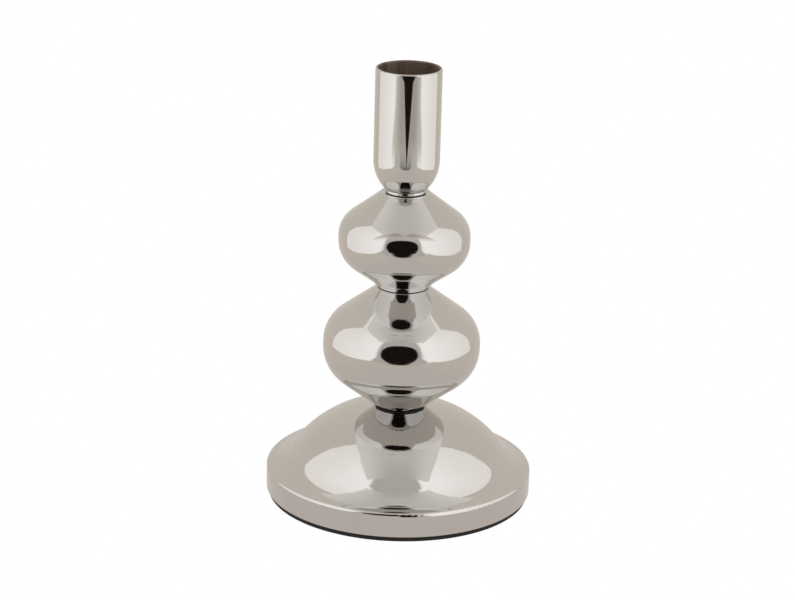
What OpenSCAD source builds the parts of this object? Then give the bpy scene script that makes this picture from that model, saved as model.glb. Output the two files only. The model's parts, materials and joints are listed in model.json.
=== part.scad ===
// Plated candlestick: a domed round foot, a large and a smaller hollow bulb and a
// tall cup for one taper candle, stacked on black bushes and pulled together by a
// rod that runs from the weight inside the foot up into the bottom of the cup.
// Millimetres, +Z up, origin on the floor at the middle of the foot.

/* [Foot pad and closing plate] */
// Thickness of the black pad under the foot
pad_t = 1.6; // [1:0.1:3]
// How far the pad's edge stands in from the foot's outer wall
pad_inset = 0.9; // [0.5:0.1:3]
// Thickness of the plate that closes the foot
plate_t = 1; // [0.6:0.1:2]

/* [Foot shell] */
// Outer diameter of the foot
base_d = 100; // [84:1:125]
// Height of the foot shell, from its lower edge to its flat crest
base_h = 32.9; // [27:0.1:40]
// Height of the upright rim with its rounded shoulder
rim_h = 9.6; // [8:0.2:12]
// Radius of the rim's rounded shoulder
shoulder_r = 1.2; // [1.2:0.1:2]
// Bevel on the rim's lower outer edge
edge_bevel = 0.4; // [0.2:0.1:0.8]
// Radius of the hollow sweep between rim and dome
cove_r = 14.6; // [10:0.1:20]
// Radius of the dome's long flank
dome_r = 45.6; // [42:0.2:60]
// How far in from the rim the dome's flank would land at rim height
dome_inset = 6.2; // [4:0.1:8]
// Radius of the turn from flank to flat crest
crest_r = 11.4; // [10:0.2:14]
// Diameter at which the crest becomes flat
crest_d = 17.2; // [15:0.2:20]
// Wall thickness of the foot shell
base_wall = 1; // [0.7:0.1:1.1]

/* [Bulbs] */
// Largest diameter of the lower bulb
lower_bulb_d = 58.8; // [50:0.1:72]
// Height of the lower bulb
lower_bulb_h = 46.6; // [39:0.1:56]
// Height of the lower bulb's widest point above its lower end
lower_belt_h = 24; // [22:0.1:27]
// Radius of the lower bulb's shallow belt, in section
lower_belt_r = 30.4; // [29:0.1:34]
// Radius of the turn above the lower bulb's belt
lower_turn_r = 13.5; // [12:0.1:14]
// Radius of the turn below the lower bulb's belt
lower_under_r = 15.4; // [14:0.1:16]
// Diameter of the lower bulb's stem at its lower end
lower_stem_d = 19.2; // [17:0.2:23]
// Slope of the lower stem's side at its lower end, from the level
lower_stem_slope = 47; // [45:1:49]
// Radius of the hollow that draws the lower bulb in to its stem
lower_hollow_r = 14.6; // [13:0.1:16]
// Diameter of the lower bulb's upper neck
lower_neck_d = 19.8; // [17:0.2:23]
// Height of the straight lip on the lower bulb's upper neck
lower_lip_h = 0.2; // [0.2:0.1:1]
// Largest diameter of the upper bulb
upper_bulb_d = 48.9; // [42:0.1:60]
// Height of the upper bulb
upper_bulb_h = 36; // [30:0.1:43]
// Height of the upper bulb's widest point above its lower end
upper_belt_h = 18.2; // [17:0.1:20]
// Radius of the upper bulb's shallow belt, in section
upper_belt_r = 25.5; // [24.5:0.1:29]
// Radius of the turn above the upper bulb's belt
upper_turn_r = 10; // [9:0.1:10.8]
// Radius of the turn below the upper bulb's belt
upper_under_r = 11.8; // [10:0.1:12]
// Diameter of the upper bulb's stem at its lower end
upper_stem_d = 19.8; // [17:0.2:22]
// Slope of the upper stem's side at its lower end, from the level
upper_stem_slope = 52; // [50:1:54]
// Radius of the hollow that draws the upper bulb in to its stem
upper_hollow_r = 15.8; // [12:0.1:17]
// Diameter of the upper bulb's upper neck
upper_neck_d = 18.4; // [16:0.2:20]
// Height of the straight lip on the upper bulb's upper neck
upper_lip_h = 0.2; // [0.2:0.1:1]
// Bevel on the upper edges of the necks
lip_bevel = 0.1; // [0.05:0.05:0.15]
// Wall thickness of the bulbs
bulb_wall = 1.2; // [0.8:0.1:1.6]
// Length of each neck's bore
neck_land = 2.4; // [2:0.1:3]

/* [Bushes between the pieces] */
// Gap that the lower bush holds open between foot and lower bulb
lower_gap = 0.5; // [0.3:0.1:1.5]
// Gap that the middle bush holds open between the bulbs
middle_gap = 0.5; // [0.2:0.1:1.5]
// Gap that the upper bush holds open between upper bulb and cup
upper_gap = 0.3; // [0.2:0.1:1.5]
// How far a bush's rim stands in from the necks it parts
bush_inset = 0.6; // [0.2:0.1:1.2]
// Diameter of the spigots that centre the pieces on one another
spigot_d = 12.6; // [10:0.2:14]
// Length of each spigot
spigot_l = 1.6; // [1:0.1:2]
// Play between spigot and bore, all round
spigot_play = 0.1; // [0.05:0.05:0.2]

/* [Cup] */
// Height of the cup
cup_h = 46.3; // [39:0.1:56]
// Diameter of the hole for the candle
candle_d = 22; // [20:0.2:27]
// Depth of the hole for the candle
candle_depth = 32; // [25:0.5:33]
// Wall thickness around the candle
cup_wall = 1.2; // [1:0.1:2]
// Diameter of the cup's neck
cup_neck_d = 15.2; // [14:0.1:17]
// Height at which the cup's rounded underside reaches full width
bowl_h = 12.1; // [10:0.1:13]
// Radius of the cup's rounded underside
bowl_r = 16; // [14:0.2:18]
// Depth of the tapped hole for the rod
tap_depth = 11; // [8:0.5:12]

/* [Rod and fixings] */
// Diameter of the tie rod
rod_d = 6; // [5:1:8]
// Length of rod held in the cup
rod_grip = 10; // [7:0.5:10]
// Length of rod standing out below the nut
rod_tail = 1; // [0.5:0.1:1.2]
// Room left between the rod's end and the closing plate
rod_room = 1; // [0.5:0.1:1.5]
// Bevel on the rod's ends
rod_bevel = 0.6; // [0.3:0.1:1]
// Play in the nut's and the cup's thread, all round
thread_play = 0.05; // [0.05:0.05:0.1]
// Play where the rod passes through bushes, weight and washers, all round
rod_play = 0.2; // [0.1:0.05:0.4]
// Width of the nut across its flats
nut_af = 10; // [9:0.5:13]
// Height of the nut
nut_h = 5; // [4:0.2:6]
// Thickness of the split lock washer
lock_t = 1.6; // [1:0.1:2]
// Outer diameter of the split lock washer
lock_d = 11; // [10:0.5:13]
// Angle left open in the split lock washer
lock_gap = 14; // [8:1:25]
// Thickness of the wide clamp washer
clamp_t = 1.6; // [1:0.1:2]
// Outer diameter of the wide clamp washer
clamp_d = 18; // [15:0.5:22]

/* [Weight] */
// Gap between the weight or plate and the foot shell, all round
weight_gap = 0.3; // [0.2:0.05:0.5]
// Bevel on the weight's upper edge
weight_bevel = 1; // [0.8:0.1:1.5]
// Diameter of the hub in the middle of the weight
hub_d = 40; // [32:1:46]
// Thickness of metal over the weight's pocket
hub_roof = 5; // [4:0.5:6]
// Diameter of the pocket that takes the nut and washers
pocket_d = 24; // [23:0.5:28]

/* [Hidden] */
$fn = 160;
OVER = 0.002; // how far a tight arc stands out past its wider neighbours, so that they cross
BELT = 4; // half the angle that a bulb's belt spans

// heights of the stack
z_shell = pad_t;
z_weight = z_shell + plate_t;
z_crest = z_shell + base_h;
z_lower = z_crest + lower_gap;
z_middle = z_lower + lower_bulb_h;
z_upper = z_middle + middle_gap;
z_neck = z_upper + upper_bulb_h;
z_cup = z_neck + upper_gap;

// heights inside the foot, upwards from the end of the rod
z_tail = z_weight + rod_room;
z_nut = z_tail + rod_tail;
z_lock = z_nut + nut_h;
z_clamp = z_lock + lock_t;
z_roof = z_clamp + clamp_t;
z_rod_top = z_cup + rod_grip;

// the foot's outline: centres of its arcs, as [radius, height] from its lower edge
base_r = base_d / 2;
shoulder_c = [base_r - shoulder_r, rim_h - shoulder_r];
crest_c = [crest_d / 2, base_h - crest_r];
dome_foot = [base_r - dome_inset, rim_h];
dome_c = crossing(dome_foot, dome_r, crest_c, dome_r - crest_r);
cove_c = crossing(dome_c, dome_r + cove_r, shoulder_c, shoulder_r + cove_r);

spigot_r = spigot_d / 2;
socket_r = spigot_r + spigot_play;
cup_r = candle_d / 2 + cup_wall;
rod_r = rod_d / 2;
tap_r = rod_r + thread_play;
rod_hole_r = rod_r + rod_play;
weight_r = base_r - base_wall - weight_gap;
weight_h = shoulder_c[1] + z_shell - z_weight + shoulder_r - base_wall - weight_gap / 3;

// where circles of radius ra round a and rb round b cross, to the left of the way from a to b
function crossing(a, ra, b, rb) =
    let (d = norm(b - a), u = (b - a) / d, x = (ra * ra - rb * rb + d * d) / (2 * d),
         y = sqrt(ra * ra - x * x))
    a + x * u + y * [-u[1], u[0]];

// the direction from a to b, in degrees from the level
function way(a, b) = atan2(b[1] - a[1], b[0] - a[0]);

// the point at distance r from a, towards b
function along(a, b, r) = a + r * (b - a) / norm(b - a);

module disc(c, r) {
    translate(c) circle(r);
}

// the slice of a disc between two heights, right of the axis
module disc_band(c, r, low, high) {
    intersection() {
        disc(c, r);
        translate([0, low]) square([c[0] + r + 1, high - low]);
    }
}

// the half section of a round lip of radius r between two heights, its upper edge bevelled
module lip(r, low, high) {
    polygon([[0, low], [r, low], [r, high - lip_bevel], [r - lip_bevel, high], [0, high]]);
}

// the foot's half section, its outer faces drawn in by e
module base_outline(e) {
    flank_r = dome_r - e - OVER;
    shoulder_end = along(shoulder_c, cove_c, shoulder_r - e);
    cove_end = along(dome_c, cove_c, flank_r);
    flank_end = along(dome_c, crest_c, flank_r);
    wall_r = base_r - e - OVER;
    bevel = e > 0 ? 0 : edge_bevel;
    difference() {
        union() {
            polygon([
                [0, 0], [wall_r - bevel, 0], [wall_r, bevel], [wall_r, shoulder_c[1]], shoulder_end,
                cove_end, flank_end, [crest_c[0], base_h - e - OVER], [0, base_h - e - OVER]
            ]);
            disc(shoulder_c, shoulder_r - e);
            disc_band(dome_c, flank_r, cove_end[1], flank_end[1]);
            disc_band(crest_c, crest_r - e, flank_end[1] - 3, base_h);
        }
        disc(cove_c, cove_r + e + OVER);
    }
}

module base_shell() {
    color("#c9c3ba") translate([0, 0, z_shell]) rotate_extrude() difference() {
        base_outline(0);
        base_outline(base_wall);
        translate([0, -1]) square([base_r - base_wall - OVER, 2]);
        square([socket_r, base_h + 1]);
    }
}

module pad() {
    color("#1b1b1c") cylinder(h = pad_t, r = base_r - pad_inset);
}

module bottom_plate() {
    color("#8b8d90") translate([0, 0, z_shell]) cylinder(h = plate_t, r = weight_r);
}

module base_weight() {
    color("#56575a") translate([0, 0, z_weight]) rotate_extrude() difference() {
        union() {
            polygon([
                [0, 0], [weight_r, 0], [weight_r, weight_h - weight_bevel],
                [weight_r - weight_bevel, weight_h], [0, weight_h]
            ]);
            square([hub_d / 2, z_roof + hub_roof - z_weight]);
        }
        square([pocket_d / 2, z_roof - z_weight]);
        square([rod_hole_r, base_h]);
    }
}

// a bulb of radius r and height h whose widest point lies at height belt_h: a shallow belt,
// a tighter turn above and below it, straight flanks, and a hollow that leads to the stem
module bulb(r, h, belt_h, belt_r, turn_r, under_r, stem_r, stem_slope, hollow_r, neck_r, lip_h) {
    up = h - belt_h;
    belt_c = [r - belt_r, 0];
    turn_c = belt_c + (belt_r - turn_r) * [cos(BELT), sin(BELT)];
    under_c = belt_c + (belt_r - under_r) * [cos(BELT), -sin(BELT)];
    stem = [stem_r, -belt_h];
    hollow_c = stem + hollow_r * [sin(stem_slope), -cos(stem_slope)];
    neck = [neck_r, up - lip_h];
    flank_a = way(turn_c, neck) - acos(turn_r / norm(neck - turn_c));
    under_a = way(under_c, hollow_c) + acos((under_r + hollow_r) / norm(hollow_c - under_c));

    module outline(e) {
        turn_end = turn_c + (turn_r - e - OVER) * [cos(flank_a), sin(flank_a)];
        under_end = under_c + (under_r - e - OVER) * [cos(under_a), sin(under_a)];
        hollow_end = hollow_c - (hollow_r + OVER) * [cos(under_a), sin(under_a)];
        belt_end = belt_c + (belt_r - e - OVER) * [cos(BELT), sin(BELT)];
        top = e > 0 ? up - neck_land : up - lip_h;
        top_r = turn_end[0] - (top - turn_end[1]) * tan(flank_a);
        floor_z = neck_land - belt_h;
        floor_r = under_end[0] - (under_end[1] - floor_z) * tan(-under_a);
        low = e > 0 ? [[floor_r, floor_z]] : [[hollow_end[0], -belt_h], hollow_end];
        polygon(concat([[0, low[0][1]]], low, [
            under_end, [belt_end[0], -belt_end[1]], belt_end, turn_end, [top_r, top], [0, top]
        ]));
        disc_band(belt_c, belt_r - e - OVER, -belt_end[1], belt_end[1]);
        disc_band(turn_c, turn_r - e, 0, up);
        disc_band(under_c, under_r - e, -belt_h, 0);
    }

    translate([0, 0, belt_h]) rotate_extrude() difference() {
        union() {
            outline(0);
            lip(neck_r, 0, up);
        }
        outline(bulb_wall);
        disc(hollow_c, hollow_r + OVER);
        translate([0, -belt_h - 1]) square([socket_r, h + 2]);
    }
}

module lower_bulb() {
    color("#cfcac2") translate([0, 0, z_lower])
        bulb(lower_bulb_d / 2, lower_bulb_h, lower_belt_h, lower_belt_r, lower_turn_r, lower_under_r,
            lower_stem_d / 2, lower_stem_slope, lower_hollow_r, lower_neck_d / 2, lower_lip_h);
}

module upper_bulb() {
    color("#cfcac2") translate([0, 0, z_upper])
        bulb(upper_bulb_d / 2, upper_bulb_h, upper_belt_h, upper_belt_r, upper_turn_r, upper_under_r,
            upper_stem_d / 2, upper_stem_slope, upper_hollow_r, upper_neck_d / 2, upper_lip_h);
}

// a bush with rim radius r and rim thickness t, its rim standing on the floor plane
module bush(r, t) {
    difference() {
        union() {
            cylinder(h = t, r = r);
            translate([0, 0, -spigot_l]) cylinder(h = t + 2 * spigot_l, r = spigot_r);
        }
        translate([0, 0, -spigot_l - 1]) cylinder(h = t + 2 * spigot_l + 2, r = rod_hole_r);
    }
}

module lower_bush() {
    color("#202022") translate([0, 0, z_crest]) bush(lower_stem_d / 2 - bush_inset, lower_gap);
}

module middle_bush() {
    color("#202022") translate([0, 0, z_middle]) bush(upper_stem_d / 2 - bush_inset, middle_gap);
}

module upper_bush() {
    color("#202022") translate([0, 0, z_neck]) bush(cup_neck_d / 2 - bush_inset, upper_gap);
}

module candle_cup() {
    lip_r = cup_wall / 2;
    color("#cfcac2") translate([0, 0, z_cup]) rotate_extrude() difference() {
        union() {
            square([cup_neck_d / 2, bowl_h]);
            disc_band([cup_r - bowl_r, bowl_h], bowl_r, 0, bowl_h + 1);
            translate([0, bowl_h]) square([cup_r - OVER, cup_h - bowl_h - lip_r]);
            disc([cup_r - lip_r, cup_h - lip_r], lip_r + OVER);
        }
        translate([0, cup_h - candle_depth]) square([candle_d / 2, candle_depth + 1]);
        square([tap_r, tap_depth]);
        square([socket_r, spigot_l + spigot_play]);
    }
}

module tie_rod() {
    color("#9b9da0") translate([0, 0, z_tail]) {
        cylinder(h = rod_bevel, r1 = rod_r - rod_bevel, r2 = rod_r);
        translate([0, 0, rod_bevel]) cylinder(h = z_rod_top - z_tail - 2 * rod_bevel, r = rod_r);
        translate([0, 0, z_rod_top - z_tail - rod_bevel])
            cylinder(h = rod_bevel, r1 = rod_r, r2 = rod_r - rod_bevel);
    }
}

module clamp_washer() {
    color("#a9abae") translate([0, 0, z_clamp]) difference() {
        cylinder(h = clamp_t, r = clamp_d / 2);
        translate([0, 0, -1]) cylinder(h = clamp_t + 2, r = rod_hole_r);
    }
}

module lock_washer() {
    color("#77797c") translate([0, 0, z_lock]) rotate_extrude(angle = 360 - lock_gap)
        translate([rod_hole_r, 0]) square([lock_d / 2 - rod_hole_r, lock_t]);
}

module clamp_nut() {
    color("#b4b5b7") translate([0, 0, z_nut]) difference() {
        cylinder(h = nut_h, d = nut_af / cos(30), $fn = 6);
        translate([0, 0, -1]) cylinder(h = nut_h + 2, r = tap_r);
    }
}

pad();
bottom_plate();
base_shell();
base_weight();
lower_bush();
lower_bulb();
middle_bush();
upper_bulb();
upper_bush();
candle_cup();
tie_rod();
clamp_washer();
lock_washer();
clamp_nut();
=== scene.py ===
"""Looks of the plated candlestick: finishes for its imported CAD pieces, and the small
light tent that its mirror surfaces reflect. Metres, in the frame of the CAD model."""

import json
import math

import bpy
from mathutils import Matrix, Vector


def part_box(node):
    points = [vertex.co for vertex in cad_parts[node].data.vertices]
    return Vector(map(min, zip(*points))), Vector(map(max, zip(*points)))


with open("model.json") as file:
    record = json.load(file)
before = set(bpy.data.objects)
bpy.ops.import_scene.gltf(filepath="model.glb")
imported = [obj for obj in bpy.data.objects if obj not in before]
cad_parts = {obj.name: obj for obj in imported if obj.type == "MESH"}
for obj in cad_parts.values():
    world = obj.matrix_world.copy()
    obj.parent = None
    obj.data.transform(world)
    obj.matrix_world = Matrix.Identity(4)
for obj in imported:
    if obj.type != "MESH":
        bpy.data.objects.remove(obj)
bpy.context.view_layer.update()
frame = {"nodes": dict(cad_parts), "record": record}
nodes = frame["nodes"]

# colours are linear
WHITE = (1.0, 1.0, 1.0)
CAMERA_SIDE = (0.012, 0.008, 0.007)
TENT_CLOTH = (0.72, 0.665, 0.60)
TENT_SHADE = (0.60, 0.57, 0.53)
TENT_ROOF = (0.70, 0.66, 0.62)
TENT_ROOF_SIDE = (0.88, 0.84, 0.79)
SOFT_BOX = (1.28, 1.245, 1.215)
SOFT_BOX_EDGE = (1.10, 1.05, 1.00)
FLOOR_BOUNCE = (0.675, 0.615, 0.565)
FLOOR_SIDE = (0.72, 0.65, 0.575)
# painted reflection: glow of the card, a sheet before the cup that paints the reflections in the cup
# and the upper bulb
PAINTED_REFLECTION_GREY = (0.50, 0.455, 0.41)
PAINTED_REFLECTION_EDGE = (0.80, 0.735, 0.66)
PAINTED_REFLECTION_FOOT = (0.76, 0.71, 0.645)

PLATE_COLOURS = ((0.60, 0.595, 0.585), (0.66, 0.655, 0.645))
BORE_COLOURS = ((0.105, 0.070, 0.050), (0.21, 0.15, 0.115))

# the cup's lip and the plate's surface, in metres
LIP_RADIUS = 0.0006
BORE_BLUR = 0.0001  # half the width over which plate gives way to the bore's finish
RIPPLE_DEPTH = 1.2e-5
HAIRLINE_DEPTH = 2e-7


# ---------------------------------------------------------------- shader helpers


def new_material(name):
    """An empty node material and its output node."""
    mat = bpy.data.materials.new(name)
    mat.use_nodes = True
    mat.node_tree.nodes.clear()
    return mat, mat.node_tree.nodes.new("ShaderNodeOutputMaterial")


def add(tree, kind, inputs=None, **settings):
    """A node of that kind, with its settings and inputs; an input may be a socket."""
    node = tree.nodes.new("ShaderNode" + kind)
    for key, value in settings.items():
        setattr(node, key, value)
    for key, value in (inputs or {}).items():
        if isinstance(value, bpy.types.NodeSocket):
            tree.links.new(value, node.inputs[key])
        else:
            node.inputs[key].default_value = value
    return node


def math_node(tree, operation, *values):
    """The result of one Math node."""
    return add(tree, "Math", dict(enumerate(values)), operation=operation).outputs[0]


def remap(tree, value, low, high, to_low, to_high):
    """value, moved from low..high to to_low..to_high with a smooth ease at both ends."""
    inputs = {0: value, 1: low, 2: high, 3: to_low, 4: to_high}
    return add(tree, "MapRange", inputs, interpolation_type="SMOOTHSTEP").outputs[0]


def mix_colours(tree, share, first, second):
    """first where share is 0, second where it is 1."""
    node = tree.nodes.new("ShaderNodeMix")
    node.data_type = "RGBA"
    for socket, value in ((node.inputs[0], share), (node.inputs[6], first), (node.inputs[7], second)):
        if isinstance(value, bpy.types.NodeSocket):
            tree.links.new(value, socket)
        else:
            socket.default_value = (*value, 1.0) if isinstance(value, tuple) else value
    return node.outputs[2]


def place(tree, stretch=(1.0, 1.0, 1.0)):
    """Coordinates in metres in the CAD frame, stretched along X, Y and Z."""
    coords = add(tree, "TexCoord").outputs["Object"]
    return add(tree, "Mapping", {"Vector": coords, "Scale": stretch}).outputs[0]


def noise(tree, scale, detail=2.0, stretch=(1.0, 1.0, 1.0), rough=0.5):
    """A noise of that many cells a metre, about 0.3 to 0.7."""
    inputs = {"Vector": place(tree, stretch), "Scale": scale, "Detail": detail, "Roughness": rough}
    return add(tree, "TexNoise", inputs).outputs[0]


def bump(tree, height, distance, below=None):
    """A normal from a height of that many metres, over another bump where one is given."""
    inputs = {"Height": height, "Distance": distance, "Strength": 1.0}
    if below is not None:
        inputs["Normal"] = below
    return add(tree, "Bump", inputs).outputs[0]


def xyz(tree):
    """The three coordinates of a point, in metres in the CAD frame."""
    return add(tree, "SeparateXYZ", {0: place(tree)}).outputs


def axis_distance(tree):
    """Distance from the Z axis, in metres."""
    squares = [math_node(tree, "MULTIPLY", part, part) for part in xyz(tree)[:2]]
    return math_node(tree, "SQRT", math_node(tree, "ADD", *squares))


# ---------------------------------------------------------------- finishes


def principled(name, colour, roughness, normal, **fixed):
    """A material whose colour, roughness and normal are functions of its tree.

    A fixed input is a value for the whole surface, or such a function where it varies."""
    mat, out = new_material(name)
    tree = mat.node_tree
    shader = tree.nodes.new("ShaderNodeBsdfPrincipled")
    tree.links.new(shader.outputs[0], out.inputs["Surface"])
    tree.links.new(colour(tree), shader.inputs["Base Color"])
    tree.links.new(roughness(tree), shader.inputs["Roughness"])
    tree.links.new(normal(tree), shader.inputs["Normal"])
    for key, value in fixed.items():
        socket = shader.inputs[key.replace("_", " ")]
        if callable(value):
            tree.links.new(value(tree), socket)
        else:
            socket.default_value = value
    return mat


def plate_colour(tree):
    """Warm grey of the plate, a little uneven in tone."""
    return mix_colours(tree, noise(tree, 45, 3), *PLATE_COLOURS)


def plate_roughness(tree):
    """Mirror bright, with faint smudges."""
    return remap(tree, noise(tree, 120, 5), 0.35, 0.75, 0.03, 0.085)


def plate_normal(tree):
    """Shallow polishing ripple over very fine hairlines."""
    hairlines = bump(tree, noise(tree, 2600, 2, (1, 1, 0.2)), HAIRLINE_DEPTH)
    return bump(tree, noise(tree, 85, 1), RIPPLE_DEPTH, hairlines)


def mirror_plating(name):
    """Bright plate over polished metal."""
    return principled(name, plate_colour, plate_roughness, plate_normal, Metallic=1.0)


def cup_plating(name, bore_radius, bore_floor):
    """The same plate outside, and a dull brown bore that the plate never reached."""

    def outside(tree):
        """0 in the bore, 1 elsewhere."""
        edge = (bore_radius - BORE_BLUR, bore_radius + BORE_BLUR)
        beyond = remap(tree, axis_distance(tree), *edge, 0.0, 1.0)
        below = math_node(tree, "LESS_THAN", xyz(tree)[2], bore_floor)
        return math_node(tree, "MAXIMUM", beyond, below)

    def colour(tree):
        streaks = remap(tree, noise(tree, 220, 3, (1, 1, 0.06)), 0.35, 0.65, 0.0, 1.0)
        brown = mix_colours(tree, streaks, *BORE_COLOURS)
        return mix_colours(tree, outside(tree), brown, plate_colour(tree))

    def roughness(tree):
        dull = remap(tree, noise(tree, 500, 3), 0.3, 0.7, 0.42, 0.6)
        parts = {0: outside(tree), 1: 0.0, 2: 1.0, 3: dull, 4: plate_roughness(tree)}
        return add(tree, "MapRange", parts).outputs[0]

    return principled(name, colour, roughness, plate_normal, Metallic=outside)


def black_plastic(name):
    """Moulded bush plastic with a fine spark-eroded grain."""
    return principled(
        name,
        lambda t: mix_colours(t, noise(t, 400, 3), (0.008, 0.008, 0.009), (0.016, 0.016, 0.017)),
        lambda t: remap(t, noise(t, 900, 3), 0.3, 0.7, 0.38, 0.55),
        lambda t: bump(t, noise(t, 4000, 2), 1e-5),
    )


def foam_rubber(name):
    """Thin black foam pad with open pores on its cut faces."""
    return principled(
        name,
        lambda t: mix_colours(t, noise(t, 700, 4), (0.010, 0.010, 0.011), (0.026, 0.026, 0.028)),
        lambda t: remap(t, noise(t, 1500, 3), 0.3, 0.7, 0.78, 0.95),
        lambda t: bump(t, noise(t, 2200, 3), 8e-5),
    )


def cast_iron(name):
    """Sand-cast weight with a coarse skin."""
    return principled(
        name,
        lambda t: mix_colours(t, noise(t, 250, 5), (0.055, 0.053, 0.052), (0.12, 0.115, 0.11)),
        lambda t: remap(t, noise(t, 600, 3), 0.3, 0.7, 0.55, 0.8),
        lambda t: bump(t, noise(t, 900, 4), 2e-4),
        Metallic=0.6,
    )


def zinc_steel(name):
    """Bright zinc on turned or pressed steel, with fine lines around the axis."""
    return principled(
        name,
        lambda t: mix_colours(t, noise(t, 300, 4), (0.50, 0.50, 0.51), (0.62, 0.62, 0.62)),
        lambda t: remap(t, noise(t, 500, 4), 0.3, 0.7, 0.25, 0.42),
        lambda t: bump(t, noise(t, 300, 2, (1, 1, 20)), 1e-5),
        Metallic=1.0,
    )


def dress(material, *names):
    """Gives a finish to CAD nodes that keep their own shape."""
    for name in names:
        piece = nodes[name]
        piece.data.materials.clear()
        piece.data.materials.append(material)


# ---------------------------------------------------------------- light tent and camera

# the tent's walls, roof and floor, in metres
TENT_HALF_WIDTH = 0.300
TENT_TOP = 0.570
TENT_FRONT_Y = -0.330
TENT_BACK_Y = 0.130
ROOF_BACK_Y = 0.300
ROOF_SHADE_Y = -0.050  # where the shade of the roof's front part ends
ROOF_CENTRE_HALF_WIDTH = 0.050
FLOOR_Z = -0.0001  # just clear of the pad's underside
FLOOR_RADIUS = 1.5
FLOOR_CORNERS = 72
FLOOR_EDGE_X = (0.040, 0.200)  # from the tone of the middle to that of the sides

# the dark camera opening in the front wall and the shaded cloth around it, in metres
OPENING_X = -0.020
OPENING_Z = 0.190
OPENING_HALF_WIDTH = 0.165
OPENING_HALF_HEIGHT = 0.190
OPENING_POWER = 2.4  # 2 would be a plain ellipse
OPENING_EDGE = (0.85, 1.2)  # soft edge, as a share of the opening's reach
SHADE_EDGE = (0.185, 0.235)  # soft edge of the shaded cloth, off the opening's middle
SHADE_SPREAD = 0.060  # how much further out the shaded cloth reaches at the floor
SHADE_SPREAD_TOP = 0.100  # height at which it no longer does

# the card: a glowing sheet close before the cup, hidden from the camera, that paints the reflections
# in the cup and the upper bulb; in metres; heights are above the cup's lower end
CARD_Y = -0.036
CARD_HALF_WIDTH = 0.045
CARD_LOW = -0.0024
CARD_HIGH = 0.0436
CARD_LOW_FADE = 0.016  # over which the card's lower edge comes in
CARD_SIDE_FADE = 0.010  # over which its sides go out
CARD_REACH = (0.034, 0.023)  # half width of the solid part, low and high
CARD_REACH_HEIGHTS = (0.0026, 0.0316)
CARD_FOOT_HEIGHTS = (0.0026, 0.0176)  # from beige to grey
CARD_EDGE_X = (0.010, 0.030)  # from grey to pale
NOTCH_TIP = 0.0056
NOTCH_TOP = 0.0373
NOTCH_HALF_WIDTH = 0.0078
NOTCH_BLUR = (-0.0004, 0.0006)
FLARE_TOP = 0.0400
FLARE_WIDTH = 0.006  # added to the notch's half width above its top

# the camera: place in metres, angles in degrees, lens in millimetres
CAMERA_PLACE = (0.0, -0.8729, 0.3707)
CAMERA_YAW = -0.128
CAMERA_PITCH = 18.655
CAMERA_ROLL = 1.55
CAMERA_LENS = 112.0
CAMERA_SENSOR = 36.0


def emitter(name, colour):
    """A stage material that only glows, in the colour that a function of its tree gives."""
    mat, out = new_material(name)
    tree = mat.node_tree
    glow = add(tree, "Emission", {"Color": colour(tree), "Strength": 1.0})
    tree.links.new(glow.outputs[0], out.inputs["Surface"])
    return mat


def seen_by_camera(tree, direct, reflected):
    """One colour where the camera looks straight at a surface, another in reflections."""
    path = add(tree, "LightPath").outputs["Is Camera Ray"]
    return mix_colours(tree, path, reflected, direct)


def sheet(name, corners, material):
    """A flat staged panel between its corners, hidden from the camera."""
    mesh = bpy.data.meshes.new(name)
    mesh.from_pydata([Vector(c) for c in corners], [], [range(len(corners))])
    mesh.materials.append(material)
    panel = bpy.data.objects.new(name, mesh)
    bpy.context.scene.collection.objects.link(panel)
    panel.visible_camera = False
    panel.visible_shadow = False
    return panel


def side_colour(tree):
    """Bright cloth with a soft box behind it, strongest towards the front."""
    front = remap(tree, xyz(tree)[1], TENT_FRONT_Y, TENT_BACK_Y, 0.0, 1.0)
    return mix_colours(tree, front, SOFT_BOX, SOFT_BOX_EDGE)


def front_colour(tree):
    """Dark oval camera opening in shaded cloth, with bright cloth at the outer sides."""
    x, _, z = xyz(tree)
    off_centre = math_node(tree, "ABSOLUTE", math_node(tree, "SUBTRACT", x, OPENING_X))
    across = math_node(tree, "DIVIDE", off_centre, OPENING_HALF_WIDTH)
    up = math_node(tree, "SUBTRACT", z, OPENING_Z)
    up = math_node(tree, "DIVIDE", math_node(tree, "ABSOLUTE", up), OPENING_HALF_HEIGHT)
    parts = [math_node(tree, "POWER", part, OPENING_POWER) for part in (across, up)]
    reach = math_node(tree, "ADD", *parts)
    spread = remap(tree, z, 0.0, SHADE_SPREAD_TOP, SHADE_SPREAD, 0.0)
    side = remap(tree, math_node(tree, "SUBTRACT", off_centre, spread), *SHADE_EDGE, 0.0, 1.0)
    cloth = mix_colours(tree, side, TENT_SHADE, SOFT_BOX)
    return mix_colours(tree, remap(tree, reach, *OPENING_EDGE, 0.0, 1.0), CAMERA_SIDE, cloth)


def roof_colour(tree):
    """Cloth roof, brighter towards the side walls and darker towards the front."""
    x, y, _ = xyz(tree)
    off_centre = math_node(tree, "ABSOLUTE", x)
    side = remap(tree, off_centre, ROOF_CENTRE_HALF_WIDTH, TENT_HALF_WIDTH, 0.0, 1.0)
    front = remap(tree, y, TENT_FRONT_Y, ROOF_SHADE_Y, 1.0, 0.0)
    centre = mix_colours(tree, front, TENT_ROOF, TENT_SHADE)
    return mix_colours(tree, side, centre, TENT_ROOF_SIDE)


def floor_colour(tree):
    """White to the camera; in reflections beige, brighter towards the side walls."""
    off_centre = math_node(tree, "ABSOLUTE", xyz(tree)[0])
    side = remap(tree, off_centre, *FLOOR_EDGE_X, 0.0, 1.0)
    return seen_by_camera(tree, WHITE, mix_colours(tree, side, FLOOR_BOUNCE, FLOOR_SIDE))


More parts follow.
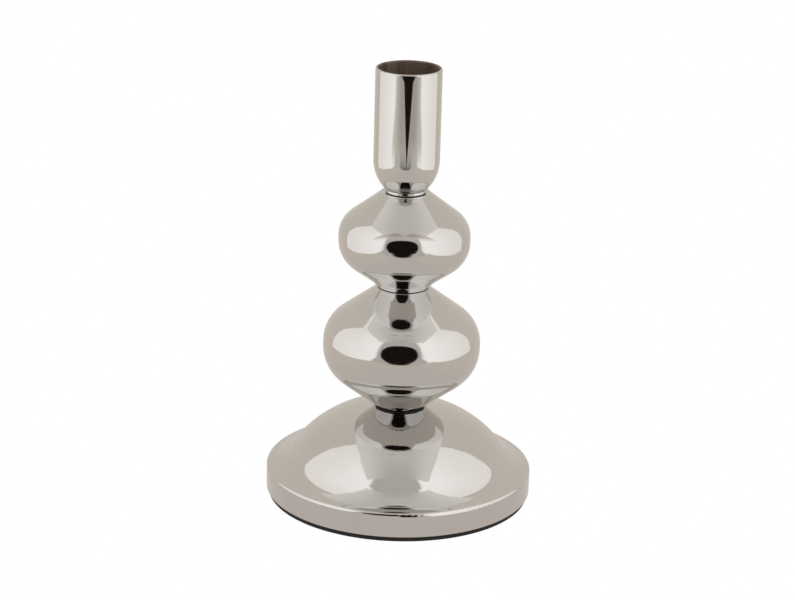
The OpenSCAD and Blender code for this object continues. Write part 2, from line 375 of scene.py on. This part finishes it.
def painted_reflection_material(cup_low):
    """Painted reflection for the cup: a glowing grey sheet with a tapering notch, beige towards its
    foot and clear past its edges.
    """
    mat, out = new_material("card")
    tree = mat.node_tree
    x, _, z = xyz(tree)
    off_centre = math_node(tree, "ABSOLUTE", x)
    height = math_node(tree, "SUBTRACT", z, cup_low)
    taper = {0: height, 1: NOTCH_TIP, 2: NOTCH_TOP, 3: 0.0, 4: NOTCH_HALF_WIDTH}
    notch = add(tree, "MapRange", taper).outputs[0]
    flare = remap(tree, height, NOTCH_TOP, FLARE_TOP, 0.0, FLARE_WIDTH)
    past_notch = math_node(tree, "SUBTRACT", off_centre, math_node(tree, "ADD", notch, flare))
    reach = remap(tree, height, *CARD_REACH_HEIGHTS, *CARD_REACH)
    past_reach = math_node(tree, "SUBTRACT", off_centre, reach)
    beside = remap(tree, past_notch, *NOTCH_BLUR, 0.0, 1.0)
    within = remap(tree, past_reach, 0.0, CARD_SIDE_FADE, 1.0, 0.0)
    above = remap(tree, height, CARD_LOW, CARD_LOW + CARD_LOW_FADE, 0.0, 1.0)
    solid = math_node(tree, "MULTIPLY", math_node(tree, "MULTIPLY", beside, within), above)
    grey = mix_colours(tree, remap(tree, off_centre, *CARD_EDGE_X, 0.0, 1.0), PAINTED_REFLECTION_GREY, PAINTED_REFLECTION_EDGE)
    colour = mix_colours(tree, remap(tree, height, *CARD_FOOT_HEIGHTS, 0.0, 1.0), PAINTED_REFLECTION_FOOT, grey)
    glow = add(tree, "Emission", {"Color": colour, "Strength": 1.0})
    nothing = tree.nodes.new("ShaderNodeBsdfTransparent")
    mixed = add(tree, "MixShader", {0: solid, 1: nothing.outputs[0], 2: glow.outputs[0]})
    tree.links.new(mixed.outputs[0], out.inputs["Surface"])
    return mat


def add_tent(cup_low):
    """Floor, bright side walls, roof, front wall with its dark opening, and the glowing card that
    paints the cup's reflection.
    """
    wall, front, top = TENT_HALF_WIDTH, TENT_FRONT_Y, TENT_TOP
    bright = emitter("tent_side", side_colour)
    back = TENT_BACK_Y
    for name, x in (("tent_left", -wall), ("tent_right", wall)):
        sheet(name, [(x, front, 0), (x, back, 0), (x, back, top), (x, front, top)], bright)
    corners = [(-wall, front, 0), (wall, front, 0), (wall, front, top), (-wall, front, top)]
    sheet("tent_front", corners, emitter("tent_front", front_colour))
    back = ROOF_BACK_Y
    corners = [(-wall, front, top), (wall, front, top), (wall, back, top), (-wall, back, top)]
    sheet("tent_roof", corners, emitter("tent_roof", roof_colour))

    # the card paints the reflections in the cup and the upper bulb; it is hidden from the camera
    half, low, high = CARD_HALF_WIDTH, cup_low + CARD_LOW, cup_low + CARD_HIGH
    corners = [(-half, CARD_Y, low), (half, CARD_Y, low), (half, CARD_Y, high), (-half, CARD_Y, high)]
    sheet("cup_painted_reflection", corners, painted_reflection_material(cup_low))

    turns = [2 * math.pi * i / FLOOR_CORNERS for i in range(FLOOR_CORNERS)]
    rim = [(FLOOR_RADIUS * math.cos(a), FLOOR_RADIUS * math.sin(a), FLOOR_Z) for a in turns]
    floor = sheet("floor", rim, emitter("floor", floor_colour))
    floor.visible_camera = True

    world = bpy.data.worlds.new("tent")
    world.use_nodes = True
    tree = world.node_tree
    tree.nodes.clear()
    out = tree.nodes.new("ShaderNodeOutputWorld")
    sky = add(tree, "Background", {"Color": seen_by_camera(tree, WHITE, TENT_CLOTH)})
    tree.links.new(sky.outputs[0], out.inputs["Surface"])
    bpy.context.scene.world = world
    bpy.context.scene.view_settings.view_transform = "Standard"


def add_camera():
    """A long lens a little under a metre away, looking down at the middle of the stack."""
    yaw, pitch, roll = (math.radians(a) for a in (CAMERA_YAW, CAMERA_PITCH, CAMERA_ROLL))
    forward = Vector(
        (math.sin(yaw) * math.cos(pitch), math.cos(yaw) * math.cos(pitch), -math.sin(pitch))
    )
    level = Vector((math.cos(yaw), -math.sin(yaw), 0))
    above = level.cross(forward)
    right = math.cos(roll) * level + math.sin(roll) * above
    up = math.cos(roll) * above - math.sin(roll) * level
    data = bpy.data.cameras.new("camera")
    data.sensor_width = CAMERA_SENSOR
    data.lens = CAMERA_LENS
    camera = bpy.data.objects.new("camera", data)
    bpy.context.scene.collection.objects.link(camera)
    turn = Matrix((right, up, -forward)).transposed()
    camera.matrix_world = Matrix.Translation(CAMERA_PLACE) @ turn.to_4x4()
    bpy.context.scene.camera = camera


socket = next(mount for mount in frame["record"]["mounts"] if mount["name"] == "candle_socket")
bore_length, bore_radius = (socket["dims"][key] / 1000 for key in ("length_mm", "r_mm"))
cup_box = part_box("candle_cup")
cup_low = cup_box[0][2]
cup_floor = cup_box[1][2] - bore_length - LIP_RADIUS
add_camera()
add_tent(cup_low)
dress(mirror_plating("plating"), "base_shell", "lower_bulb", "upper_bulb")
dress(cup_plating("cup_plating", bore_radius + LIP_RADIUS, cup_floor), "candle_cup")
dress(black_plastic("bush_plastic"), "lower_bush", "middle_bush", "upper_bush")
dress(foam_rubber("pad_foam"), "pad")
dress(cast_iron("cast_iron"), "base_weight")
dress(zinc_steel("zinc_steel"), "bottom_plate", "tie_rod", "clamp_washer", "lock_washer", "clamp_nut")
